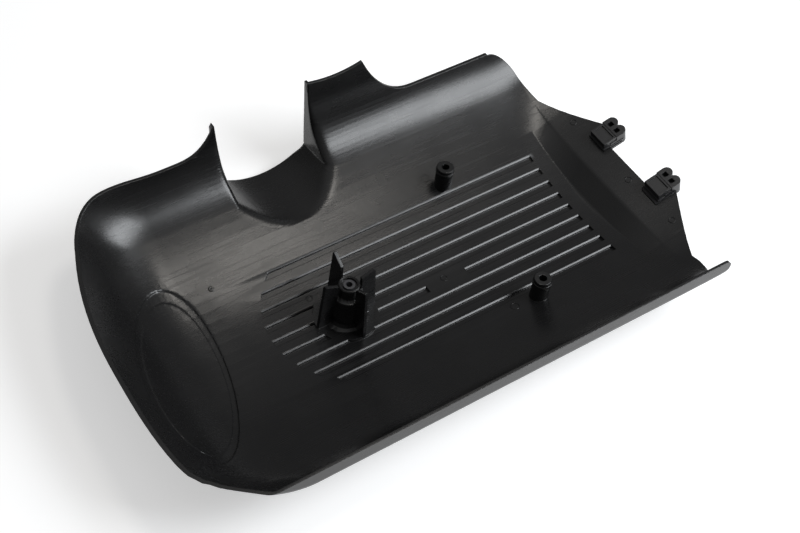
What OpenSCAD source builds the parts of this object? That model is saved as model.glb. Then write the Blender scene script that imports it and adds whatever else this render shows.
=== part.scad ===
// Intake manifold shield: a moulded engine cover, lying with its hollow side up.
// X runs along the ribs towards the two clips, Y towards the notched wall, Z up.
// Lengths along X are measured from the middle of the shell, heights from the
// middle of the inner floor, and place() then moves the whole part on its rest.

/* [Shell] */
// Wall thickness of the moulding
wall = 2.8; // [2.2:0.1:3.2]
// Radius of the arched floor, on its inner face
arch_r = 340; // [330:5:350]
// Radius of the bend between the floor and a side wall
side_bend_r = 76; // [72:1:80]
// Slope of the far wall above its bend, in degrees
far_slope = 79; // [77:1:80]
// Radius of the bend between the floor and the front slope
front_bend_r = 90; // [84:2:96]
// Slope of the front, in degrees
front_slope = 45; // [43:1:46]
// Distance from the middle to the start of the front bend
front_start = 203; // [200:1:206]
// Turn of the front seen from above, in degrees
front_turn = 3; // [2:0.5:4]

/* [Rims] */
// Height of the rim along the front and the near wall
rim_z = 65; // [62:1:68]
// Height of the upright strip under the near rim
strip_h = 16; // [12:1:18]
// Height of the far rim on the front corner
far_corner_z = 75; // [73:0.5:77]
// Height of the far rim in the dip between the corner and the spike
far_front_z = 71; // [69:0.5:72]
// Height of the spike beside the notch
spike_z = 99; // [96:1:102]
// Height of the tower beside the notch
tower_z = 104; // [100:1:106]
// Height of the far rim behind the tower
far_rear_z = 59; // [56:1:62]

/* [Notch] */
// Place of the middle of the notch along X
notch_x = -57; // [-60:1:-54]
// Clear width of the notch
notch_w = 98; // [92:1:102]
// Radius of the notch floor
notch_r = 76; // [70:1:84]
// Draft of the notch's side under the spike, in degrees
notch_draft = 3; // [1:0.5:4]
// Height of the notch floor at the free edge
notch_edge_z = 4; // [2:0.5:8]
// Fall of the notch floor towards its free edge, in degrees
notch_fall = 8.6; // [6:0.2:10]
// Distance of the free edge from the centre line
notch_edge_y = 184; // [182:1:188]

/* [Ribs] */
// Number of ribs, pressed into the floor from its hollow side
rib_count = 9; // [7:2:9]
// Distance from rib to rib
rib_pitch = 16.8; // [16:0.2:17.4]
// Width of the groove inside a rib
groove_w = 6.4; // [5:0.2:7]
// Depth of the groove and height of the rib outside
rib_h = 2.5; // [1.5:0.1:2.5]
// Rear end of the ribs along X
rib_rear_x = 193; // [186:1:196]
// Radius of the round front of the rib field
rib_front_r = 89; // [84:1:94]

/* [Hub and bosses] */
// Place of the hub along X
hub_x = -76; // [-79:1:-73]
// Place of the hub across the part
hub_y = -3; // [-5:0.5:0]
// Height of the hub above the floor
hub_h = 45.5; // [43:0.5:48]
// Radius of the hub's body at its top
hub_r = 15; // [14.5:0.5:16]
// Radius of the hub's neck
neck_r = 10; // [9.5:0.5:11]
// Height of the neck
neck_h = 13; // [11:0.5:14]
// Height of the four fins above the floor
fin_h = 58.5; // [54:0.5:62]
// Distance of a fin's outer edge from the hub's axis, at its foot and at its top
fin_foot_r = 31.5; // [29:0.5:34]
fin_top_r = 27.5; // [24:0.5:29]
// Thickness of a fin
fin_t = 3.2; // [2.6:0.2:4]
// Radius of the hole in the sleeve
sleeve_hole_r = 3; // [2.6:0.1:3.6]
// Place of the two bosses along X
boss_x = 90; // [84:1:96]
// Distance of each boss from the centre line
boss_y = 80; // [78:1:84]
// Height of a boss above the floor beside it
boss_h = 26.5; // [22:0.5:30]
// Radius of a boss
boss_r = 8.8; // [8:0.2:9.6]
// Radius of the blind hole in a boss
boss_hole_r = 3.8; // [3:0.1:4.4]

/* [Badge pad] */
// Length of the oval pad across the front slope
pad_l = 204; // [190:2:210]
// Width of the oval pad, seen from above
pad_w = 80; // [70:2:84]
// Depth of the recess, and height of the pad outside
pad_h = 1.2; // [0.8:0.1:1.4]

/* [Apron] */
// Place of the foot of the rear step along X
step_x = 210; // [207:1:213]
// Height of the crest where the apron starts
apron_z = 16.5; // [15:0.5:18]
// Slope of the apron, in degrees
apron_slope = 15; // [12:1:17]
// Slope of the rear step, in degrees
step_slope = 39; // [36:1:44]
// Radius of the bend at the foot of the rear step
step_foot_r = 8; // [5:1:10]
// Radius of the bend at its crest
step_crest_r = 10; // [7:1:12]
// Rear edge of the apron between its two tabs
apron_edge_x = 261; // [258:1:264]
// Rear edge of the tabs
tab_edge_x = 277; // [274:1:280]
// Step of the near tab behind this edge, and of the far tab before it
tab_skew = 2; // [0:0.5:3]
// Distance of each clip from the centre line
clip_y = 41; // [40:0.5:42]
// Width of a clip
clip_w = 24; // [22:0.5:26]

/* [Hidden] */

// Slope at which the floor passes into the side walls, and the near wall's bend
arch_end = 24;
near_slope = 47;
near_corner_r = 6;
strip_foot_z = rim_z - strip_h;

// Walls are drawn up to this height above the floor and then cut to the rims
tall_z = 114;
front_rise = 50;

// A length that reaches past the part
far_away = 320;

// Small overlap between the rim's tongue and the wall that it continues
seat = 0.1;

black = [0.055, 0.056, 0.06];

// The part rests on its lowest rib, with the middle of its box at the origin
lift = wall + rib_h;
box_front_x = -310.92;
box_rear_x = 288.229;
box_near_y = -167.373;
box_far_y = 190.687;
middle_x = (box_front_x + box_rear_x) / 2;
middle_y = (box_near_y + box_far_y) / 2;

module place() {
    translate([-middle_x, -middle_y, lift]) children();
}

// Profiles are lists of [distance outwards, height, slope]. arc_on() continues
// one with a bend of radius r up to slope a1, in n steps.
function last_of(list) = list[len(list) - 1];
function tail_of(list) = [for (i = [1:len(list) - 1]) list[i]];
function reverse_of(list) = [for (i = [len(list) - 1:-1:0]) list[i]];
function arc_on(list, a1, r, n) =
    let (p = last_of(list), a0 = p[2])
    concat(list, [for (i = [1:n])
        let (a = a0 + (a1 - a0) * i / n)
        [p[0] + r * (sin(a) - sin(a0)), p[1] + r * (cos(a0) - cos(a)), a]]);
function line_on(list, z1) =
    let (p = last_of(list))
    concat(list, [[p[0] + (z1 - p[1]) / tan(p[2]), z1, p[2]]]);

// Runs from 0 to 1 as t does, level at both ends
function smooth(t) = let (c = max(0, min(1, t))) c * c * (3 - 2 * c);

centre = [[0, 0, 0]];
arch = arc_on(centre, arch_end, arch_r, 12);
far_bend = arc_on(arch, far_slope, side_bend_r, 16);
far_half = line_on(far_bend, tall_z);
near_bend = arc_on(arc_on(arch, near_slope, side_bend_r, 7), 90, near_corner_r, 5);
near_half = concat(near_bend, [[last_of(near_bend)[0], tall_z, 90]]);
near_y = -last_of(near_half)[0];

// The cross-section from the near rim to the far rim
function mirrored(half) = [for (p = half) [-p[0], p[1], -p[2]]];
section = concat(reverse_of(mirrored(near_half)), tail_of(far_half));

// The lengthwise profile: the front slope, and behind the floor the rear step
// with the apron, which runs on to its rear end
front_bend = arc_on(centre, front_slope, front_bend_r, 13);
front_half = line_on(front_bend, last_of(front_bend)[1] + front_rise);
front_stations = [for (p = front_half) [-front_start - p[0], p[1], p[2]]];
apron_l = 62;
step_foot_x = step_x - step_foot_r * tan(step_slope / 2);
step_rise = line_on(arc_on(centre, step_slope, step_foot_r, 3),
    apron_z - step_crest_r * tan((step_slope - apron_slope) / 2) * sin(step_slope));
step_crest = arc_on(step_rise, apron_slope, -step_crest_r, 3);
rear_half = line_on(step_crest, last_of(step_crest)[1] + apron_l * tan(apron_slope));
rear_stations = [for (p = reverse_of(rear_half)) [step_foot_x + p[0], p[1], -p[2]]];
stations = concat(rear_stations, front_stations);

// The inner face joins the height of the cross-section and the height of the
// lengthwise profile. A plain sum of the two gives a wide round corner, and a
// higher power a tight one with flatter faces beside it.
rear_power = 3;
far_power = 1.1;
near_power = 1.38;
near_end_power = 0.82;
near_change_y = 108;
near_change_w = 52;
function corner_power(x, y) = x > 0 ? rear_power
    : y > 0 ? far_power
    : near_power + (near_end_power - near_power) * smooth((-y - near_change_y) / near_change_w);
function joined(a, b, p) = pow(pow(a, p) + pow(b, p), 1 / p);
function inner_point(s, q) =
    [s[0] + (s[0] > 0 ? 0 : q[0] * tan(front_turn)), q[0],
        joined(q[1], s[1], corner_power(s[0], q[0]))];

// The direction square to the inner face, from a small step along each profile,
// and a point of the shell at a depth below that face
small_step = 0.01;
function face_normal(s, q) =
    let (here = inner_point(s, q),
        ahead = inner_point([s[0] - small_step * cos(s[2]), s[1] + small_step * sin(s[2])], q),
        aside = inner_point(s, [q[0] + small_step * cos(q[2]), q[1] + small_step * sin(q[2])]),
        n = cross(aside - here, ahead - here))
    n / norm(n);
function skin_point(s, q, depth) = inner_point(s, q) - depth * face_normal(s, q);

// A sheet of the shell between two depths, as one closed surface
module sheet(along, across, top_depth, under_depth) {
    rows = len(along);
    cols = len(across);
    count = rows * cols;
    points = [for (d = [top_depth, under_depth], s = along, q = across) skin_point(s, q, d)];
    function at(layer, i, j) = layer * count + i * cols + j;
    top = [for (i = [0:rows - 2], j = [0:cols - 2], k = [0, 1])
        k == 0 ? [at(0, i, j), at(0, i + 1, j), at(0, i, j + 1)]
               : [at(0, i, j + 1), at(0, i + 1, j), at(0, i + 1, j + 1)]];
    under = [for (i = [0:rows - 2], j = [0:cols - 2], k = [0, 1])
        k == 0 ? [at(1, i, j), at(1, i, j + 1), at(1, i + 1, j)]
               : [at(1, i, j + 1), at(1, i + 1, j + 1), at(1, i + 1, j)]];
    ends = [for (i = [0, rows - 1], j = [0:cols - 2])
        let (face = [at(0, i, j), at(0, i, j + 1), at(1, i, j + 1), at(1, i, j)])
        i == 0 ? face : reverse_of(face)];
    sides = [for (j = [0, cols - 1], i = [0:rows - 2])
        let (face = [at(0, i, j), at(1, i, j), at(1, i + 1, j), at(0, i + 1, j)])
        j == 0 ? face : reverse_of(face)];
    polyhedron(points, concat(top, under, ends, sides));
}

// Everything outside the straight trough, deeper than the given depth
module outside_trough(depth, x0, x1) {
    line = [for (q = section) let (p = skin_point([0, 0, 0], q, depth)) [p[1], p[2]]];
    outline = concat(line, [[far_away, tall_z], [far_away, -90], [-far_away, -90],
        [-far_away, tall_z]]);
    translate([x0, 0, 0]) rotate([90, 0, 90]) linear_extrude(x1 - x0) polygon(outline);
}

// Side-view outlines drawn in X and Z, drawn out across the part from y0 to y1
module across_part(y0, y1) {
    translate([0, y1, 0]) rotate([90, 0, 0]) linear_extrude(y1 - y0) children();
}

// Height of the far rim along X
notch_edge_lean = 3.7;
notch_left_x = notch_x - notch_w / 2;
notch_right_x = notch_x + notch_w / 2;
far_rise_x = -283;
far_rise_l = 50;
far_dip_x = -230;
far_dip_l = 60;
spike_start_x = -165;
spike_power = 4;
tower_right_x = 55;
tower_dip_x = 22;
function far_rim(x) =
    x < notch_left_x - wall
        ? rim_z + (far_corner_z - rim_z) * smooth((x - far_rise_x) / far_rise_l)
            - (far_corner_z - far_front_z) * smooth((x - far_dip_x) / far_dip_l)
            + (spike_z - far_front_z)
                * pow(max(0, (x - spike_start_x) / (notch_left_x - wall - spike_start_x)), spike_power)
    : x < notch_right_x
        ? spike_z + (tower_z - spike_z) * (x - notch_left_x) / notch_w
    : x < tower_right_x
        ? tower_z - 4 + 4 * pow((x - tower_dip_x) / (tower_right_x - tower_dip_x), 2)
    : far_rear_z + (tower_z - far_rear_z) * pow(max(0, 1 - (x - tower_right_x) / 60), 3);

module above_rims() {
    rim_line = [for (x = [-330:5:120]) [x, far_rim(x)]];
    across_part(0, 260)
        polygon(concat([[-330, 400]], rim_line, [[far_away, far_rear_z], [far_away, 400]]));
    translate([-far_away - 10, -260, rim_z]) cube([2 * far_away, 260.5, 340]);
}

// The notch: a spout with upright sides that leaves the far wall level with
// the trough and falls towards its free edge
module notch_axis() {
    translate([notch_x, notch_edge_y, notch_edge_z]) rotate([-notch_fall, 0, 0]) children();
}

notch_side_z = notch_r - sqrt(notch_r * notch_r - notch_w * notch_w / 4);
module notch_outline(grow) {
    side_h = 140;
    foot_w = notch_w / 2 + grow;
    intersection() {
        translate([0, notch_r]) circle(r = notch_r + grow, $fn = 96);
        translate([-foot_w, -grow]) square([2 * foot_w, notch_r]);
    }
    polygon([[-foot_w, notch_side_z], [foot_w, notch_side_z],
        [foot_w, notch_side_z + side_h],
        [-foot_w - side_h * tan(notch_draft), notch_side_z + side_h]]);
}

module notch_block() {
    difference() {
        notch_axis() across_part(-120, 30) notch_outline(wall);
        translate([notch_x - 80, notch_edge_y, 0]) rotate([-notch_edge_lean, 0, 0])
            translate([0, 0, -60]) cube([160, 60, 240]);
    }
}

module notch_air() {
    notch_axis() across_part(-140, 60) notch_outline(0);
}

// Rib field seen from above: straight sides and a round front
field_half_w = rib_count * rib_pitch / 2;
rib_round_x = -62;
module rib_field(grow) {
    intersection() {
        union() {
            translate([rib_round_x, 0]) circle(r = rib_front_r + grow, $fn = 120);
            translate([rib_round_x, -field_half_w - grow])
                square([rib_rear_x - rib_round_x + grow, 2 * field_half_w + 2 * grow]);
        }
        translate([-160, -field_half_w - grow]) square([360, 2 * field_half_w + 2 * grow]);
    }
}

// Places without a groove: round the hub, and a flat on one rib
hub_pad_r = 31;
flat_x = 30.5;
flat_l = 45;
module rib_plan(grow) {
    difference() {
        intersection() {
            rib_field(grow);
            for (i = [0:rib_count - 1])
                translate([-170, (i - (rib_count - 1) / 2) * rib_pitch - groove_w / 2 - grow])
                    square([380, groove_w + 2 * grow]);
        }
        if (grow == 0) {
            translate([hub_x, hub_y]) circle(r = hub_pad_r, $fn = 64);
            translate([flat_x - flat_l / 2, -1.5 * rib_pitch]) square([flat_l, rib_pitch]);
        }
    }
}

floor_part = [for (q = section) if (abs(q[2]) < 17.5) q];
floor_run = [[215, 0, 0], [-185, 0, 0]];

module floor_sheet(top_depth, under_depth, grow) {
    intersection() {
        sheet(floor_run, floor_part, top_depth, under_depth);
        translate([0, 0, -20]) linear_extrude(60) rib_plan(grow);
    }
}

// Oval pad: a shallow recess on the hollow side, half as deep in its middle
pad_x = -243;
pad_y = -3;
pad_turn = 16;
pad_rim = 1.03;
pad_middle = 0.88;
function oval(l, w, n) = [for (i = [0:n - 1]) [w / 2 * cos(360 * i / n), l / 2 * sin(360 * i / n)]];
module pad_prism(scale_by) {
    translate([pad_x, pad_y, -20]) rotate([0, 0, -pad_turn]) linear_extrude(130)
        polygon(oval(pad_l * scale_by, pad_w * scale_by, 48));
}

pad_run = concat([[-160, 0, 0]], front_stations);
pad_across = [for (q = section) if (abs(q[2]) < 23) q];
module pad_sheet(top_depth, under_depth, scale_by) {
    intersection() {
        sheet(pad_run, pad_across, top_depth, under_depth);
        pad_prism(scale_by);
    }
}

// Height of the flat apron along X
crest_x = step_x + apron_z / tan(step_slope);
function apron_top(x) = apron_z + (x - crest_x) * tan(apron_slope);

// Rear outline seen from above: rounded corners, slanted sides, two tabs, and
// on the near side the tongue of the rim strip. A corner is [x, y, radius].
far_corner = [203, 146, 26];
far_corner_end = 12;
far_side = [235.2, 118];
near_corner = [193, 128, 46];
tongue_x = 241;
tongue_y = near_y - seat;
tab_y = clip_y - clip_w / 2 + 1;
tab_side_y = clip_y + clip_w / 2 - 0.5;
far_tab_x = tab_edge_x - tab_skew;
near_tab_x = tab_edge_x + tab_skew;
function corner(c, side, a0, a1) = [for (i = [0:12])
    let (a = a0 + (a1 - a0) * i / 12)
    [c[0] + c[2] * cos(a), side * (c[1] + c[2] * sin(a))]];
near_cut_a = asin((-tongue_y - 1.5 - near_corner[1]) / near_corner[2]);
rear_outline = concat(
    [[-400, 300], [far_corner[0], 300]], corner(far_corner, 1, 90, far_corner_end),
    [far_side, [far_tab_x, tab_side_y], [far_tab_x, tab_y], [apron_edge_x, tab_y],
        [apron_edge_x, -tab_y], [near_tab_x, -tab_y], [near_tab_x, -tab_side_y]],
    corner(near_corner, -1, -4, near_cut_a),
    [[tongue_x, tongue_y + 1.5], [tongue_x, -300], [-400, -300]]);

module behind_outline() {
    translate([0, 0, -90]) linear_extrude(500) difference() {
        translate([0, -290]) square([400, 580]);
        polygon(rear_outline);
    }
}

// Round end of the tongue, seen from the side
module tongue_corner() {
    r = strip_h / 2;
    across_part(-200, near_y + 3) difference() {
        translate([tongue_x - r, strip_foot_z - 6]) square([r + 1, strip_h + 8]);
        translate([tongue_x - r, strip_foot_z + r]) circle(r = r, $fn = 48);
    }
}

// Hub with four fins, a well for the nut from below, and a seat for the sleeve
// with a shallow groove round it in the top face
well_r = 11.5;
well_h = 28;
sleeve_r = 5.5;
top_groove_r = 7.6;
top_groove_h = 2.2;
shoulder_z = hub_h - neck_h;
module hub() {
    rotate_extrude($fn = 72)
        polygon([[0, -8], [22, -8], [22, 0.4], [18, 1.8], [hub_r + 1, 5], [hub_r, shoulder_z - 2],
            [hub_r - 1, shoulder_z], [neck_r + 0.4, shoulder_z + 0.6], [neck_r, hub_h - 0.6],
            [neck_r - 0.6, hub_h], [0, hub_h]]);
}

// A fin is drawn as [distance from the hub's axis, height]
fin_inner_r = 13;
fin_blunt = 1.5;
fin_outline = [[8, -4], [fin_foot_r, -4], [fin_top_r, fin_h - fin_blunt],
    [fin_top_r - fin_blunt, fin_h], [fin_inner_r, fin_h], [fin_inner_r, 24], [8, 24]];
module fin() {
    translate([0, fin_t / 2, 0]) rotate([90, 0, 0]) linear_extrude(fin_t) polygon(fin_outline);
}

module hub_bore() {
    translate([0, 0, -30]) cylinder(h = 30 + well_h, r = well_r, $fn = 64);
    translate([0, 0, well_h - 1]) cylinder(h = hub_h - well_h + 10, r = sleeve_r, $fn = 64);
    translate([0, 0, hub_h - top_groove_h]) cylinder(h = 10, r = top_groove_r, $fn = 64);
}

// Screw boss with a slight collar round its top
boss_floor_z = arch_r - sqrt(arch_r * arch_r - boss_y * boss_y);
boss_top_z = boss_floor_z + boss_h;
module boss() {
    rotate_extrude($fn = 64)
        polygon([[0, -2], [boss_r + 0.4, -2], [boss_r, boss_top_z - 9], [boss_r - 0.5, boss_top_z - 8.5],
            [boss_r - 0.5, boss_top_z - 7.5], [boss_r, boss_top_z - 7], [boss_r - 0.2, boss_top_z - 0.6],
            [boss_r - 0.8, boss_top_z], [0, boss_top_z]]);
}

module posts() {
    difference() {
        union() {
            translate([hub_x, hub_y, 0]) {
                hub();
                for (turn = [0:90:270]) rotate([0, 0, turn]) fin();
            }
            for (side = [-1, 1]) translate([boss_x, side * boss_y, 0]) boss();
        }
        outside_trough(wall / 2, hub_x - 60, boss_x + 30);
    }
}

module shell() {
    difference() {
        union() {
            sheet(stations, section, 0, wall);
            intersection() {
                notch_block();
                outside_trough(wall / 2, notch_x - 70, notch_x + 70);
            }
        }
        notch_air();
        above_rims();
        behind_outline();
        tongue_corner();
    }
}

module shield() {
    color(black) place() difference() {
        union() {
            shell();
            floor_sheet(wall / 2, wall + rib_h, 2);
            pad_sheet(wall / 2, wall + pad_h, pad_rim);
            posts();
        }
        floor_sheet(-3, rib_h, 0);
        difference() {
            pad_sheet(-4, pad_h, 1);
            pad_sheet(pad_h / 2, 9, pad_middle);
        }
        translate([hub_x, hub_y, 0]) hub_bore();
        for (side = [-1, 1])
            translate([boss_x, side * boss_y, boss_top_z - 20])
                cylinder(h = 30, r = boss_hole_r, $fn = 48);
    }
}

// Sleeve pressed into the hub, just below its top face
module stud_sleeve() {
    color([0.13, 0.13, 0.135]) place() translate([hub_x, hub_y, 0]) difference() {
        translate([0, 0, well_h]) cylinder(h = hub_h - well_h - 0.3, r = sleeve_r, $fn = 64);
        translate([0, 0, well_h - 5]) cylinder(h = hub_h, r = sleeve_hole_r, $fn = 64);
    }
}

// Push-on clip: two jaws on the tab, joined by a block that ends in two round
// lobes with a square pocket each. The upper jaw carries a plate with a shallow
// recess. Drawn with its tab edge at X = 0 and the tab's upper face at Z = 0.
clip_jaw_l = 23;
clip_back_l = 7;
clip_h = 9;
clip_under = 3;
clip_play = 0.05;
jaw_lip_h = 2.2;
plate_start = 1.5;
plate_l = 17;
plate_side = 0.8;
recess_rim = 2.2;
recess_depth = 1.2;
block_start = 6;
block_rise = 0.5;
lobe_r = clip_w / 4;
lobe_x = clip_back_l - lobe_r + 1;
under_start = 14;
pocket_w = 5.4;
pocket_x = -3.5;
pocket_y = 4.8;
pocket_depth = 5.5;
module clip() {
    foot_z = -wall - clip_under;
    difference() {
        union() {
            translate([-clip_jaw_l, -clip_w / 2, 0]) cube([clip_jaw_l, clip_w, jaw_lip_h]);
            translate([plate_start - clip_jaw_l, -clip_w / 2 + plate_side, 0])
                cube([plate_l - plate_start, clip_w - 2 * plate_side, clip_h]);
            translate([-block_start, -clip_w / 2, 0])
                cube([block_start + lobe_x, clip_w, clip_h + block_rise]);
            for (side = [-1, 1])
                translate([lobe_x, side * lobe_r, foot_z])
                    cylinder(h = clip_h + block_rise - foot_z, r = lobe_r, $fn = 48);
            translate([-under_start, -clip_w / 2, foot_z])
                cube([under_start + lobe_x, clip_w, clip_h / 2 - foot_z]);
        }
        translate([-clip_jaw_l - 1, -clip_w / 2 - 1, -wall])
            cube([clip_jaw_l + 1, clip_w + 2, wall + clip_play]);
        translate([plate_start + recess_rim - clip_jaw_l, -clip_w / 2 + plate_side + recess_rim,
                clip_h - recess_depth])
            cube([plate_l - plate_start - 2 * recess_rim,
                clip_w - 2 * plate_side - 2 * recess_rim, clip_h]);
        for (side = [-1, 1])
            translate([pocket_x, side * pocket_y - pocket_w / 2, clip_h - pocket_depth])
                cube([pocket_w, pocket_w, clip_h]);
    }
}

module clip_at(x, y) {
    color([0.075, 0.076, 0.08]) place()
        translate([x, y, apron_top(x)]) rotate([0, -apron_slope, 0]) clip();
}

module rear_clip_far() { clip_at(far_tab_x, clip_y); }
module rear_clip_near() { clip_at(near_tab_x, -clip_y); }

shield();
stud_sleeve();
rear_clip_far();
rear_clip_near();
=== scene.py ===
# %% [markdown]
# # A moulded intake manifold shield, seen from its hollow side
# The part is a black plastic engine cover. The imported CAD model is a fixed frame:
# it gives every piece its size and place in metres. This script gives the pieces
# their soft edges, small marks and finishes, and sets up a plain studio.

# %% Load the frame
import math

import bmesh
import bpy
from mathutils import Matrix, Vector
from mathutils.kdtree import KDTree


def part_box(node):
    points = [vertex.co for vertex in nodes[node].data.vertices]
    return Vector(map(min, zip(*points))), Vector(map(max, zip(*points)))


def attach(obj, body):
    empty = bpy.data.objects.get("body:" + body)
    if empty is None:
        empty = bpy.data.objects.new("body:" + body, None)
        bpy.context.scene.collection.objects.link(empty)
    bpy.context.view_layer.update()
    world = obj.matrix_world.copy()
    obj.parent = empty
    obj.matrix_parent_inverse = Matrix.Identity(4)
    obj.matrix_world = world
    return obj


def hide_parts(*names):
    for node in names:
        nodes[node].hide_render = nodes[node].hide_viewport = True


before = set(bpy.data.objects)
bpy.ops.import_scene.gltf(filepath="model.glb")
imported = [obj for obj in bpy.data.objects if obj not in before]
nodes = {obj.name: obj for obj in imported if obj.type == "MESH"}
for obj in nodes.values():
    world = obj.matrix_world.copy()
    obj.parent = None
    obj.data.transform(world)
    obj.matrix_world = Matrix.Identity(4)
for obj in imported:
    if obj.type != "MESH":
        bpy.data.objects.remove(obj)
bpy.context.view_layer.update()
MM = 0.001
print("CAD nodes:", sorted(nodes))

# %% [markdown]
# ## Places taken from the frame
# The fixing sleeve stands on the hub's axis, so its box gives the hub's place. The
# moulding is drawn from the middle of its inner floor, and the hub's place on that
# drawing is known, so a short function turns a place on the drawing, in millimetres,
# into a point of the frame. Every later detail is placed with it.

# %% Places
HUB = (-76, -3)
FLOOR_Z = 5.3
ARCH_R = 340
sleeve_low, sleeve_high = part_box("stud_sleeve")
shield_low, shield_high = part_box("shield")
hub_axis = (sleeve_low + sleeve_high) / 2
drawing_start = Vector((hub_axis.x - HUB[0] * MM, hub_axis.y - HUB[1] * MM,
                        shield_low.z + FLOOR_Z * MM))


def spot(x, y, z=0.0):
    """A place on the drawing, in millimetres, as a point of the frame."""
    return drawing_start + Vector((x, y, z)) * MM


def drawn(point):
    """A point of the frame as a place on the drawing, in millimetres."""
    return (point - drawing_start) / MM


def floor_height(y):
    """Height of the arched floor beside the centre line, in millimetres."""
    return ARCH_R - math.sqrt(ARCH_R ** 2 - y ** 2)


print("the hub stands at", [round(v, 4) for v in hub_axis])

# %% [markdown]
# ## Camera
# The photograph looks down into the hollow side from the front corner. A camera is
# easiest to place by a point that it looks at, two angles and a distance, and a
# small roll is turned about its own axis last.

# %% Camera
AIM = Vector((11.4, 8.4, 5.3)) * MM
AZIMUTH = math.radians(40.3)
ELEVATION = math.radians(50.5)
ROLL = math.radians(8.45)
DISTANCE = 1.5
LENS, SENSOR = 70.65, 36
bpy.ops.object.camera_add()
camera = bpy.context.object
turn = (Matrix.Rotation(-AZIMUTH, 4, "Z") @ Matrix.Rotation(math.pi / 2 - ELEVATION, 4, "X")
        @ Matrix.Rotation(ROLL, 4, "Z"))
camera.matrix_world = Matrix.Translation(AIM) @ turn @ Matrix.Translation((0, 0, DISTANCE))
camera.data.lens = LENS
camera.data.sensor_width = SENSOR
camera.data.clip_end = 20
bpy.context.scene.camera = camera
print("the camera stands at", [round(v, 3) for v in camera.matrix_world.translation])

# %% [markdown]
# ## Shader maths as plain expressions
# A wrapped socket overloads the operators, so that a mask or a mix of noises reads
# as a formula. Any other node comes from one method that sets the node's options
# first and its sockets after.

# %% Shader maths
class Socket:
    """One output of a node tree that can be added, multiplied and mixed."""

    def __init__(self, tree, output):
        self.tree = tree
        self.output = output

    def node(self, kind, settings=None, inputs=None, out=0):
        made = self.tree.nodes.new(kind)
        for name, value in (settings or {}).items():
            if name == "stops":
                self.set_stops(made.color_ramp.elements, value)
            else:
                setattr(made, name, value)
        for name, value in (inputs or {}).items():
            if isinstance(value, Socket):
                self.tree.links.new(value.output, made.inputs[name])
            else:
                made.inputs[name].default_value = value
        return Socket(self.tree, made.outputs[out])

    def set_stops(self, ramp, stops):
        while len(ramp) < len(stops):
            ramp.new(0.5)
        for stop, (place, grey) in zip(ramp, stops):
            stop.position = place
            stop.color = (grey, grey, grey, 1)

    def maths(self, operation, other=0.0, clamp=False):
        return self.node("ShaderNodeMath", {"operation": operation, "use_clamp": clamp},
                         {0: self, 1: other})

    def __add__(self, other):
        return self.maths("ADD", other)

    def __radd__(self, other):
        return self.maths("ADD", other)

    def __mul__(self, other):
        return self.maths("MULTIPLY", other)

    def clamp(self):
        return self.maths("ADD", 0.0, clamp=True)

    def between(self, low, high):
        return self.node("ShaderNodeMapRange", {"interpolation_type": "SMOOTHSTEP"},
                         {"Value": self, "From Min": low, "From Max": high})


print("a wrapped socket can be added, multiplied, clamped and mapped to a range")

# %% [markdown]
# ## Parts of every finish
# All finishes here are a Principled shader with a little noise. The noise reads
# Object coordinates, which are metres on this part, so its scale is in waves a metre.
# The Bevel node rounds the normals at the mesh's edges before the bump is added. That
# gives each edge of the moulding its fine highlight without any more faces.

# %% Material helpers
def new_material(name):
    material = bpy.data.materials.new(name)
    material.use_nodes = True
    tree = material.node_tree
    shader = tree.nodes["Principled BSDF"]
    place = Socket(tree, tree.nodes.new("ShaderNodeTexCoord").outputs["Object"])
    return material, tree, shader, place


def feed(tree, socket, shader, name):
    tree.links.new(socket.output, shader.inputs[name])


def noise(place, scale, detail=3.0, stretch=(1.0, 1.0, 1.0), turn=(0.0, 0.0, 0.0)):
    """A noise in waves a metre. A small factor in stretch draws it out along that axis."""
    mapped = place.node("ShaderNodeMapping", None,
                        {"Vector": place, "Scale": stretch, "Rotation": turn})
    return place.node("ShaderNodeTexNoise", None,
                      {"Vector": mapped, "Scale": scale, "Detail": detail}, out="Fac")


def mix_colour(place, factor, first, second):
    return place.node("ShaderNodeMix", {"data_type": "RGBA"},
                      {"Factor": factor, 6: (*first, 1.0), 7: (*second, 1.0)}, out=2)


def bump(place, height, strength, distance, edge):
    """A bump over normals that are rounded at the mesh's edges by a small radius."""
    soft = place.node("ShaderNodeBevel", {"samples": 6}, {"Radius": edge})
    return place.node("ShaderNodeBump", None, {"Height": height, "Strength": strength,
                                               "Distance": distance, "Normal": soft}, out="Normal")


def paint(piece, material):
    piece.data.materials.clear()
    piece.data.materials.append(material)


print("helpers for noise, colour and bump are ready")

# %% [markdown]
# ## Black moulded plastic
# The cover is black polypropylene with a satin sheen. Close up it isn't even: the
# melt leaves faint streaks along the ribs, handling leaves fine hairline marks, and
# the mould's surface gives the sheen a soft mottle. All of that is in the roughness
# and a very shallow bump, and the colour hardly changes.

# %% Shield plastic
def shield_plastic():
    material, tree, shader, place = new_material("shield_plastic")
    mottle = noise(place, 26.0, 4.0)
    streak = noise(place, 60.0, 3.0, (0.12, 1.0, 1.0), (0.0, 0.0, 0.1))
    hairline = noise(place, 420.0, 2.0, (0.03, 1.0, 1.0), (0.0, 0.0, 0.12)).between(0.5, 0.75)
    grain = noise(place, 1400.0, 2.0)
    dent = noise(place, 150.0, 3.0)
    rough = 0.185 + mottle * 0.1 + streak * 0.06 + hairline * 0.05
    feed(tree, rough.clamp(), shader, "Roughness")
    black = mix_colour(place, mottle, (0.0045, 0.0046, 0.005), (0.009, 0.0088, 0.009))
    feed(tree, black, shader, "Base Color")
    height = grain * 0.5 + streak * 0.1 + mottle * 4.0 + dent
    feed(tree, bump(place, height, 0.25, 0.12 * MM, 0.9 * MM), shader, "Normal")
    return material


shield_black = shield_plastic()
print("made", shield_black.name)

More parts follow.
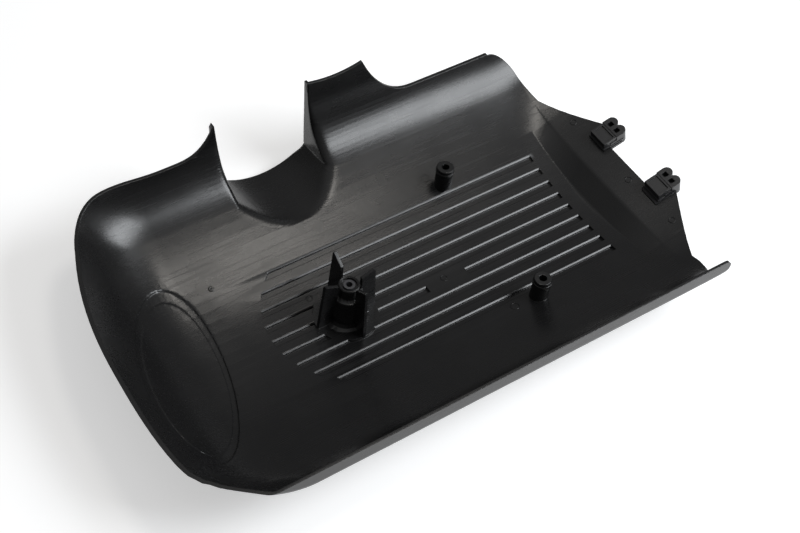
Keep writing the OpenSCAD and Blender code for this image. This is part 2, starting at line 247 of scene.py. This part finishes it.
# %% [markdown]
# ## Steel sleeve and nylon clips
# The sleeve in the hub is dark coated steel, a little lighter than the plastic round
# it. The clips are black nylon with a finer grain than the cover. These three pieces
# are shown as the frame gives them, so only their material slots are filled.

# %% Sleeve and clip finishes
def sleeve_steel():
    material, tree, shader, place = new_material("sleeve_steel")
    wear = noise(place, 900.0, 3.0)
    grey = mix_colour(place, wear, (0.05, 0.05, 0.055), (0.11, 0.11, 0.115))
    feed(tree, grey, shader, "Base Color")
    feed(tree, 0.28 + wear * 0.2, shader, "Roughness")
    shader.inputs["Metallic"].default_value = 0.7
    return material


def clip_nylon():
    material, tree, shader, place = new_material("clip_nylon")
    grain = noise(place, 800.0, 3.0)
    black = mix_colour(place, grain, (0.011, 0.011, 0.012), (0.02, 0.02, 0.021))
    feed(tree, black, shader, "Base Color")
    feed(tree, 0.3 + grain * 0.15, shader, "Roughness")
    feed(tree, bump(place, grain, 0.2, 0.1 * MM, 0.5 * MM), shader, "Normal")
    return material


sleeve_black = sleeve_steel()
clip_black = clip_nylon()
for name, material in (("stud_sleeve", sleeve_black), ("rear_clip_far", clip_black),
                       ("rear_clip_near", clip_black)):
    for slot in nodes[name].material_slots:
        slot.material = material
print("made", sleeve_black.name, "and", clip_black.name)

# %% [markdown]
# ## Working in edit mode
# An operator acts on everything that is selected, and the loaded frame is selected.
# So each step deselects all, picks its one piece, and only then selects edges or
# faces in code, by their place or their angle.

# %% Edit mode helpers
def only(piece):
    """Deselects all, then makes one piece the selected and active one."""
    bpy.ops.object.select_all(action="DESELECT")
    piece.select_set(True)
    bpy.context.view_layer.objects.active = piece


def in_edit_mode(piece, work, *values):
    """Opens a piece in edit mode with nothing selected, runs work and closes it."""
    only(piece)
    bpy.ops.object.mode_set(mode="EDIT")
    bpy.ops.mesh.select_mode(type="EDGE")
    bpy.ops.mesh.select_all(action="DESELECT")
    work(piece, *values)
    bpy.ops.object.mode_set(mode="OBJECT")


def select_edges(piece, wanted):
    """In edit mode, selects just the edges that a test picks, and counts them."""
    bpy.ops.mesh.select_all(action="DESELECT")
    mesh = bmesh.from_edit_mesh(piece.data)
    mesh.normal_update()
    picked = [edge for edge in mesh.edges if wanted(edge)]
    for edge in picked:
        edge.select_set(True)
    bmesh.update_edit_mesh(piece.data, loop_triangles=False, destructive=False)
    return len(picked)


def finish_with(piece, kind, **settings):
    """Gives a piece one modifier and applies it."""
    only(piece)
    bpy.ops.object.modifier_add(type=kind)
    modifier = piece.modifiers[-1]
    for name, value in settings.items():
        setattr(modifier, name, value)
    bpy.ops.object.modifier_apply(modifier=modifier.name)


print("helpers for selection and modifiers are ready")

# %% [markdown]
# ## The cover's own mesh
# The CAD mesh is loose triangles, and a CAD node is never changed, so the cover that
# is shown is a copy. Its doubles are merged and flat neighbours are dissolved, which
# leaves one face for each flat stretch and makes the long edges easy to find. Some of
# those faces reach right across the part, and what is done in one corner would then
# pull at another. Four cuts by planes beside the rib field keep the corners apart.

# %% A clean copy of the moulding
FIELD_X, FIELD_Y = (-165, 198), (92, -92)


def copy_of(node, name):
    piece = nodes[node].copy()
    piece.data = nodes[node].data.copy()
    piece.name = name
    bpy.context.scene.collection.objects.link(piece)
    piece.parent = None
    piece.matrix_world = Matrix.Identity(4)
    return piece


def clean(piece):
    bpy.ops.mesh.select_all(action="SELECT")
    bpy.ops.mesh.remove_doubles(threshold=0.03 * MM)
    bpy.ops.mesh.dissolve_limited(angle_limit=math.radians(0.3))


def part_regions(piece):
    """Cuts all faces by planes between the rib field, the walls, the badge and the step."""
    planes = [((x, 0, 0), (1, 0, 0)) for x in FIELD_X] + [((0, y, 0), (0, 1, 0)) for y in FIELD_Y]
    for place, way in planes:
        bpy.ops.mesh.select_all(action="SELECT")
        bpy.ops.mesh.bisect(plane_co=spot(*place), plane_no=way)


cover = copy_of("shield", "cover")
in_edit_mode(cover, clean)
in_edit_mode(cover, part_regions)
print("the cover has", len(cover.data.polygons), "faces after the merge")

# %% [markdown]
# ## Chamfers in the grooves
# The upper part of each groove's far wall leans back, and that slope catches the key
# lamp over the groove's whole length. The walls are cut a little below the floor, and
# the points above the cut then move outwards. Floor points that stand too near a wall
# are moved clear of it first, so that no face turns over.

# %% Finding the groove walls
RIBS, PITCH, GROOVE_HALF, GROOVE_DEPTH = 9, 16.8, 3.2, 2.5
GROOVES_START, GROOVES_END = -152, 193.2
ON_WALL, ON_FLOOR = 0.06, 0.4
CHAMFER_DEPTH, CHAMFER_WIDTH = 1.0, 1.6


def nearest_rib(place):
    return round(place.y / PITCH)


def above_floor(place):
    return place.z - floor_height(place.y)


def beside_far_wall(place):
    rib = nearest_rib(place)
    on_wall = abs(place.y - rib * PITCH - GROOVE_HALF) < ON_WALL and abs(rib) <= RIBS // 2
    return (on_wall and GROOVES_START < place.x < GROOVES_END
            and abs(above_floor(place)) < GROOVE_DEPTH + 0.7)


wall_points = sum(beside_far_wall(drawn(v.co)) for v in cover.data.vertices)
print("found", wall_points, "points on the grooves' far walls")

# %% Chamfered groove walls
def cut_far_walls(piece):
    bpy.ops.mesh.select_mode(type="FACE")
    for rib in range(-(RIBS // 2), RIBS // 2 + 1):
        y = rib * PITCH + GROOVE_HALF
        bpy.ops.mesh.select_all(action="DESELECT")
        mesh = bmesh.from_edit_mesh(piece.data)
        for face in mesh.faces:
            places = [drawn(v.co) for v in face.verts]
            face.select_set(all(beside_far_wall(p) and abs(p.y - y) < ON_WALL for p in places))
        bmesh.update_edit_mesh(piece.data, loop_triangles=False, destructive=False)
        bpy.ops.mesh.bisect(plane_co=spot(0, y, floor_height(y) - CHAMFER_DEPTH),
                            plane_no=(0, 0, 1))


def step_aside(too_near, clear):
    """Moves floor points that stand too near a far wall out to a clear distance."""
    for vertex in cover.data.vertices:
        place = drawn(vertex.co)
        away = place.y - nearest_rib(place) * PITCH - GROOVE_HALF
        on_floor = abs(above_floor(place)) < ON_FLOOR and -168 < place.x < 201
        if on_floor and abs(place.y) < 76 and ON_WALL < away < too_near:
            y = place.y - away + clear
            vertex.co = spot(place.x, y, floor_height(y))


def lean_walls():
    """Moves the top of each far wall outwards, and counts the points."""
    moved = 0
    for vertex in cover.data.vertices:
        place = drawn(vertex.co)
        if beside_far_wall(place) and abs(above_floor(place)) < ON_FLOOR:
            vertex.co.y += CHAMFER_WIDTH * MM
            moved += 1
    return moved


in_edit_mode(cover, cut_far_walls)
step_aside(CHAMFER_WIDTH + 0.5, CHAMFER_WIDTH + 0.8)
print("moved", lean_walls(), "points of the groove walls")

# %% [markdown]
# ## Soft lines where a bevel can't go
# Where the notch runs into the far wall the real moulding has a wide soft ridge. A
# bevel would need even faces on both sides. Here the faces near that line are cut
# fine instead, and a Smooth modifier relaxes them, most of all on the line itself.
# That rounds both skins of the wall alike. The first helper cuts the faces.

# %% Cutting faces fine
def middle(edge):
    return (edge.verts[0].co + edge.verts[1].co) / 2


def cut_fine(piece, near, longest):
    """In edit mode, splits the long edges near a place until they are short."""
    for _ in range(9):
        mesh = bmesh.from_edit_mesh(piece.data)
        bpy.ops.mesh.select_all(action="DESELECT")
        for face in mesh.faces:
            if len(face.verts) > 3 and any(near(v.co) for v in face.verts):
                face.select_set(True)
        bmesh.update_edit_mesh(piece.data, loop_triangles=False, destructive=False)
        bpy.ops.mesh.quads_convert_to_tris(quad_method="BEAUTY", ngon_method="BEAUTY")
        found = select_edges(piece, lambda e: e.calc_length() > longest and (
            near(middle(e)) or near(e.verts[0].co) or near(e.verts[1].co)))
        if not found:
            break
        bpy.ops.mesh.subdivide(number_cuts=1, quadcorner="INNERVERT")


print("long edges are halved up to nine times")

# %% [markdown]
# The modifier takes its strength from a vertex group. A weight that falls off softly
# with the distance from the line leaves no new line at the border of the group.

# %% Relaxing by a weight
def fall(value, full, none):
    """1 up to one value, 0 beyond another, and a soft fall between."""
    t = min(1.0, max(0.0, (value - full) / (none - full)))
    return 1 - t * t * (3 - 2 * t)


def relax(piece, weight, repeat):
    """Smooths a piece by a weight that a function gives for each point."""
    group = piece.vertex_groups.new(name="soft")
    for vertex in piece.data.vertices:
        amount = weight(vertex.co)
        if amount > 0:
            group.add([vertex.index], amount, "REPLACE")
    finish_with(piece, "SMOOTH", factor=0.5, iterations=repeat, vertex_group="soft")
    piece.vertex_groups.remove(piece.vertex_groups["soft"])


print("the weight falls to", round(fall(7.5, 5, 15), 2), "a quarter of the way out")

# %% [markdown]
# The distance from a line is asked for thousands of points. So points are set out
# along the line's edges once, and a tree of them answers each question quickly.

# %% Distance from a line
def turn_of(edge):
    """The angle between an edge's two faces in degrees, and minus it in a hollow."""
    if len(edge.link_faces) != 2:
        return 0.0
    return math.degrees(edge.calc_face_angle_signed(0.0))


def tree_along(piece, wanted, step):
    """A tree of points along the edges that a test picks, no further apart than step."""
    mesh = bmesh.new()
    mesh.from_mesh(piece.data)
    mesh.normal_update()
    points = []
    for edge in mesh.edges:
        if wanted(edge):
            start, end = (v.co.copy() for v in edge.verts)
            count = max(1, math.ceil((end - start).length / step))
            points += [start.lerp(end, i / count) for i in range(count + 1)]
    mesh.free()
    tree = KDTree(len(points))
    for i, point in enumerate(points):
        tree.insert(point, i)
    tree.balance()
    print("set", len(points), "points along the line")
    return tree


def away_from(tree, point):
    """Distance from the tree's line, in millimetres."""
    return tree.find(point)[2] / MM


# %% [markdown]
# ## The notch's ridge
# The ridge is picked by a box on the drawing and by how much the faces turn, because
# the two edges of the thin rim turn more. It softens less towards the rim and up the
# tower, where the real edges are crisp.

# %% Soft ridge of the notch
RIDGE_LOW, RIDGE_HIGH = (-112, 98, 8), (-3, 181, 92)
RIDGE_FULL, RIDGE_NONE = 5, 15


def on_ridge(edge):
    place = drawn(middle(edge))
    in_box = all(a < v < b for a, v, b in zip(RIDGE_LOW, place, RIDGE_HIGH))
    return in_box and 20 < abs(turn_of(edge)) < 100


def ridge_weight(point):
    place = drawn(point)
    rim = (1 - fall(place.y, 166, 181)) * 0.9
    tower = (1 - fall(place.z, 50, 85)) * 0.7
    return fall(away_from(ridge_tree, point), RIDGE_FULL, RIDGE_NONE) * (1 - rim) * (1 - tower)


ridge_tree = tree_along(cover, on_ridge, 2 * MM)
in_edit_mode(cover, cut_fine, lambda p: away_from(ridge_tree, p) < 14, 3.6 * MM)
relax(cover, ridge_weight, 26)
print("the cover has", len(cover.data.polygons), "faces after the notch")

# %% [markdown]
# ## The oval's border
# The badge's oval is a shallow step in a curved slope. It gets the same treatment in a
# much narrower band, so that its border is soft and even. Its edges are found by the
# ellipse that they lie on, which is turned a little on the slope.

# %% Soft border of the oval
BADGE_X, BADGE_Y, BADGE_TURN = -243, -3, math.radians(16)
BADGE_HALF = (40, 102)
BADGE_STEPS = (0.88, 1, 1.03)


def on_badge_border(edge):
    """True on the steps of the oval, which lie at three scales of one ellipse."""
    place = drawn(middle(edge))
    x, y = place.x - BADGE_X, place.y - BADGE_Y
    along = x * math.cos(BADGE_TURN) - y * math.sin(BADGE_TURN)
    across = x * math.sin(BADGE_TURN) + y * math.cos(BADGE_TURN)
    reach = math.hypot(along / BADGE_HALF[0], across / BADGE_HALF[1])
    return min(abs(reach - step) for step in BADGE_STEPS) < 0.012 and abs(turn_of(edge)) > 8


badge_tree = tree_along(cover, on_badge_border, 1.5 * MM)
in_edit_mode(cover, cut_fine, lambda p: away_from(badge_tree, p) < 4, 2.2 * MM)
relax(cover, lambda p: 0.9 * fall(away_from(badge_tree, p), 1.3, 4.2), 6)
print("the cover has", len(cover.data.polygons), "faces after the badge")

# %% [markdown]
# ## Tops of the fins
# The four fins aren't level: each slopes down to the hub, and the one on the far side
# stands highest. Their top corners are moved, the outer and the inner ones apart. The
# two numbers of each fin are those moves, in millimetres, by the way that it points.

# %% Fins
FIN_TOPS = {(0, 1): (5.5, -2.5), (0, -1): (2.0, -7.0), (1, 0): (-7.0, -12.0),
            (-1, 0): (-1.5, -8.0)}
HUB_TOP, FIN_START, FIN_MIDDLE, FIN_END = 50, 11, 20, 30
for vertex in cover.data.vertices:
    place = drawn(vertex.co)
    arm = Vector((place.x - HUB[0], place.y - HUB[1]))
    if place.z > HUB_TOP and FIN_START < arm.length < FIN_END:
        way = max(FIN_TOPS, key=lambda w: arm.dot(Vector(w)))
        outer, inner = FIN_TOPS[way]
        vertex.co.z += (outer if arm.length > FIN_MIDDLE else inner) * MM
print("sloped", len(FIN_TOPS), "fins")

# %% [markdown]
# ## Small bevels
# The hub, its fins and the bosses have short crisp edges. A bevel of half a
# millimetre is enough for them to catch the light.

# %% Bevels
BOSS_X, BOSS_Y = 90, 80


def on_hub_or_boss(edge):
    place = drawn(middle(edge))
    near_hub = math.hypot(place.x - HUB[0], place.y - HUB[1]) < 34 and place.z > 3
    near_boss = math.hypot(place.x - BOSS_X, abs(place.y) - BOSS_Y) < 11 and place.z > 12
    return (near_hub or near_boss) and turn_of(edge) > 50


def bevel_edges(piece, wanted, width, segments):
    found = select_edges(piece, wanted)
    bpy.ops.mesh.bevel(offset=width * MM, segments=segments, profile=0.5, affect="EDGES",
                       clamp_overlap=True)
    print("bevelled", found, "edges by", width, "mm")


in_edit_mode(cover, bevel_edges, on_hub_or_boss, 0.5, 2)

# %% [markdown]
# ## Smooth faces
# Most of the cover is shaded smooth up to an angle, and a Weighted Normal modifier
# lets the large faces rule, so that small ones beside them leave no smears. In the rib
# field every face is flat, since smooth shading would draw wide bands over the ribs.
# The finished copy then stands for the CAD node and rides on the same body.

# %% Smooth and flat faces
def in_rib_field(place):
    return -160 < place.x < 196 and abs(place.y) < 72 and place.z < 9


def part_of_body(piece, material):
    paint(piece, material)
    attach(piece, "root")


only(cover)
bpy.ops.object.shade_smooth_by_angle(angle=math.radians(34))
for face in cover.data.polygons:
    if all(in_rib_field(drawn(cover.data.vertices[i].co)) for i in face.vertices):
        face.use_smooth = False
finish_with(cover, "WEIGHTED_NORMAL", keep_sharp=True, weight=80)
part_of_body(cover, shield_black)
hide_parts("shield")
print("the cover has", len(cover.data.polygons), "faces")

# %% [markdown]
# ## Rings on the moulding
# The mould's ejector pins leave thin rings on the floor and on the apron. The hub has
# a raised lip, and each boss has a collar a little below its top. They are all short
# tubes with round edges, so one function makes them: an open cylinder gets a wall from
# Solidify and round edges from Bevel, and is then leaned and moved into place.

# %% One ring
def settle(piece, place, way):
    """Leans a piece made at the origin along a way, moves it and fixes both in its mesh."""
    lean = way.to_track_quat("Z", "Y").to_matrix().to_4x4()
    piece.matrix_world = Matrix.Translation(place) @ lean
    only(piece)
    bpy.ops.object.transform_apply(location=True, rotation=True, scale=True)


def ring(name, radius, wall, rise, place, way):
    bpy.ops.object.select_all(action="DESELECT")
    bpy.ops.mesh.primitive_cylinder_add(vertices=48, radius=radius * MM, depth=rise * MM,
                                        end_fill_type="NOTHING")
    piece = bpy.context.object
    piece.name = name
    finish_with(piece, "SOLIDIFY", thickness=wall * MM, offset=-1.0)
    finish_with(piece, "BEVEL", width=0.3 * min(wall, rise) * MM, segments=2)
    only(piece)
    bpy.ops.object.shade_smooth_by_angle(angle=math.radians(50))
    settle(piece, place, way)
    part_of_body(piece, shield_black)


print("a ring has a radius, a wall and a rise, in millimetres")

# %% [markdown]
# Each mark is dropped onto the cover from above and leans with the surface. It sinks
# in by most of its height, so only a thin ring shows. Its three numbers are its place
# on the drawing and its radius.

# %% Marks, lip and collars
MARKS = {"ejector_far": (78, 93.5, 4.6), "ejector_near": (63, -79, 4.6),
         "ejector_front": (-96.3, 29.4, 3.4), "ejector_flat": (28.9, -12.6, 3.6),
         "apron_far": (250.7, 76.7, 3.6), "apron_middle": (251.0, -13.5, 3.6),
         "apron_near": (254.1, -77.7, 3.6)}
PIP = (-172.9, 78.3)


def on_cover(x, y):
    """The cover's surface straight below a place of the drawing, and its normal."""
    hit, place, way, _ = cover.ray_cast(spot(x, y, 130), Vector((0, 0, -1)))
    return place, way


for name, (x, y, radius) in MARKS.items():
    place, way = on_cover(x, y)
    ring("mark_" + name, radius, 0.9, 0.7, place + way * 0.05 * MM, way)
place, way = on_cover(*PIP)
ring("mark_pip", 2.8, 2.5, 1.4, place + way * 0.1 * MM, way)
up = Vector((0, 0, 1))
ring("hub_lip", 9.4, 0.9, 0.8, spot(*HUB, 45.6), up)
for side in (-1, 1):
    ring("boss_collar", 9.2, 1.0, 1.3, spot(BOSS_X, side * BOSS_Y, 31.6), up)
print("made", len(MARKS) + 4, "rings")

# %% [markdown]
# ## Foot plates of the clips
# Each clip has a thin foot plate that stands out in front of it and on its sides. It
# has a raised border, and the dark gap inside the border parts it from the body. A
# flat block gets two round corners by a bevel, and its top face is inset and sunk.

# %% Foot plates
APRON_TILT = math.radians(15)
PLATE = Vector((25, 24.6, 1.6)) * MM
PLATE_X, PLATE_Z = 265.2, 22.6
CORNER_R, BORDER, SUNK = 4 * MM, 1.1 * MM, 0.9 * MM


def shape_plate(piece):
    select_edges(piece, lambda e: middle(e).x < -12 * MM and abs(middle(e).z) < 0.1 * MM)
    bpy.ops.mesh.bevel(offset=CORNER_R, segments=5, profile=0.5, affect="EDGES")
    bpy.ops.mesh.select_mode(type="FACE")
    bpy.ops.mesh.select_all(action="DESELECT")
    mesh = bmesh.from_edit_mesh(piece.data)
    for face in mesh.faces:
        face.select_set(face.normal.z > 0.9)
    bmesh.update_edit_mesh(piece.data)
    bpy.ops.mesh.inset(thickness=BORDER, depth=0)
    bpy.ops.transform.translate(value=(0, 0, -SUNK))


def foot_plate(name, y):
    bpy.ops.object.select_all(action="DESELECT")
    bpy.ops.mesh.primitive_cube_add(size=1)
    piece = bpy.context.object
    piece.name = name
    piece.scale = PLATE
    bpy.ops.object.transform_apply(location=False, rotation=False, scale=True)
    in_edit_mode(piece, shape_plate)
    finish_with(piece, "BEVEL", width=0.25 * MM, segments=2, limit_method="ANGLE")
    only(piece)
    bpy.ops.object.shade_smooth_by_angle(angle=math.radians(50))
    way = Vector((-math.sin(APRON_TILT), 0, math.cos(APRON_TILT)))
    height = PLATE_Z + 12.2 * math.tan(APRON_TILT)
    settle(piece, spot(PLATE_X, y, height) + way * PLATE.z / 2, way)
    part_of_body(piece, clip_black)


foot_plate("foot_plate_far", 41)
foot_plate("foot_plate_near", -41.7)
print("made two foot plates")

# %% [markdown]
# ## Floor
# The floor is white card. Only the camera and mirror-like surfaces see it glow at full
# white, so it keeps the part's shadow and throws no extra light on the part.

# %% Floor
CARD_GLOW = 0.46


def studio_floor():
    bpy.ops.mesh.primitive_plane_add(size=12, location=(0, 0, 0))
    sheet = bpy.context.object
    sheet.name = "studio_floor"
    material, tree, shader, place = new_material("white_card")
    shader.inputs["Base Color"].default_value = (0.8, 0.8, 0.8, 1)
    shader.inputs["Roughness"].default_value = 0.8
    shader.inputs["Emission Strength"].default_value = 1.0
    rays = tree.nodes.new("ShaderNodeLightPath").outputs
    seen = (Socket(tree, rays["Is Camera Ray"]) + Socket(tree, rays["Is Glossy Ray"])
            + Socket(tree, rays["Is Transmission Ray"])).clamp()
    feed(tree, mix_colour(place, seen, (0, 0, 0), (CARD_GLOW,) * 3), shader, "Emission Color")
    paint(sheet, material)


studio_floor()
print("laid the floor")

# %% [markdown]
# ## Room
# A satin black part takes its form from what it mirrors. The room is a dim grey that
# grows lighter overhead. Each stop is a height, as a share of the way straight up, and
# a grey.

# %% World
ROOM = [(0.0, 0.15), (0.5, 0.15), (0.8, 0.32), (1.0, 0.45)]


def studio_world():
    world = bpy.data.worlds.new("studio")
    bpy.context.scene.world = world
    world.use_nodes = True
    tree = world.node_tree
    background = tree.nodes["Background"]
    way = Socket(tree, tree.nodes.new("ShaderNodeTexCoord").outputs["Generated"])
    height = way.node("ShaderNodeSeparateXYZ", None, {0: way}, out="Z")
    level = way.node("ShaderNodeValToRGB", {"stops": ROOM}, {0: height})
    tree.links.new(level.output, background.inputs["Color"])
    background.inputs["Strength"].default_value = 1.0


studio_world()
print("the room has", len(ROOM), "levels of grey")

# %% [markdown]
# ## Lamps
# A large soft lamp stands at the rear corner on the near side, so the front slope and
# the bend of the far wall catch it. A smaller one hangs almost overhead and gives the
# floor its sheen. Both are placed by the direction in which the part mirrors them.

# %% Lamps
def softbox(name, azimuth, elevation, distance, width, height, radiance, colour):
    """A soft lamp by its compass angle from the far side, its height angle and its size."""
    a, e = math.radians(azimuth), math.radians(elevation)
    way = Vector((math.sin(a) * math.cos(e), math.cos(a) * math.cos(e), math.sin(e)))
    bpy.ops.object.light_add(type="AREA", location=way * distance)
    lamp = bpy.context.object
    lamp.name = name
    lamp.data.shape = "RECTANGLE"
    lamp.data.size = width
    lamp.data.size_y = height
    lamp.data.energy = radiance * math.pi * width * height
    lamp.data.color = colour
    lamp.rotation_euler = way.to_track_quat("Z", "Y").to_euler()
    print(name, "gives", round(lamp.data.energy, 1), "watts")


softbox("softbox_key", 127, 43, 2.0, 1.3, 0.8, 10.0, (0.94, 0.97, 1.0))
softbox("softbox_top", 72, 73, 2.0, 0.42, 0.42, 8.0, (1.0, 0.96, 0.9))
bpy.context.scene.view_settings.view_transform = "Standard"
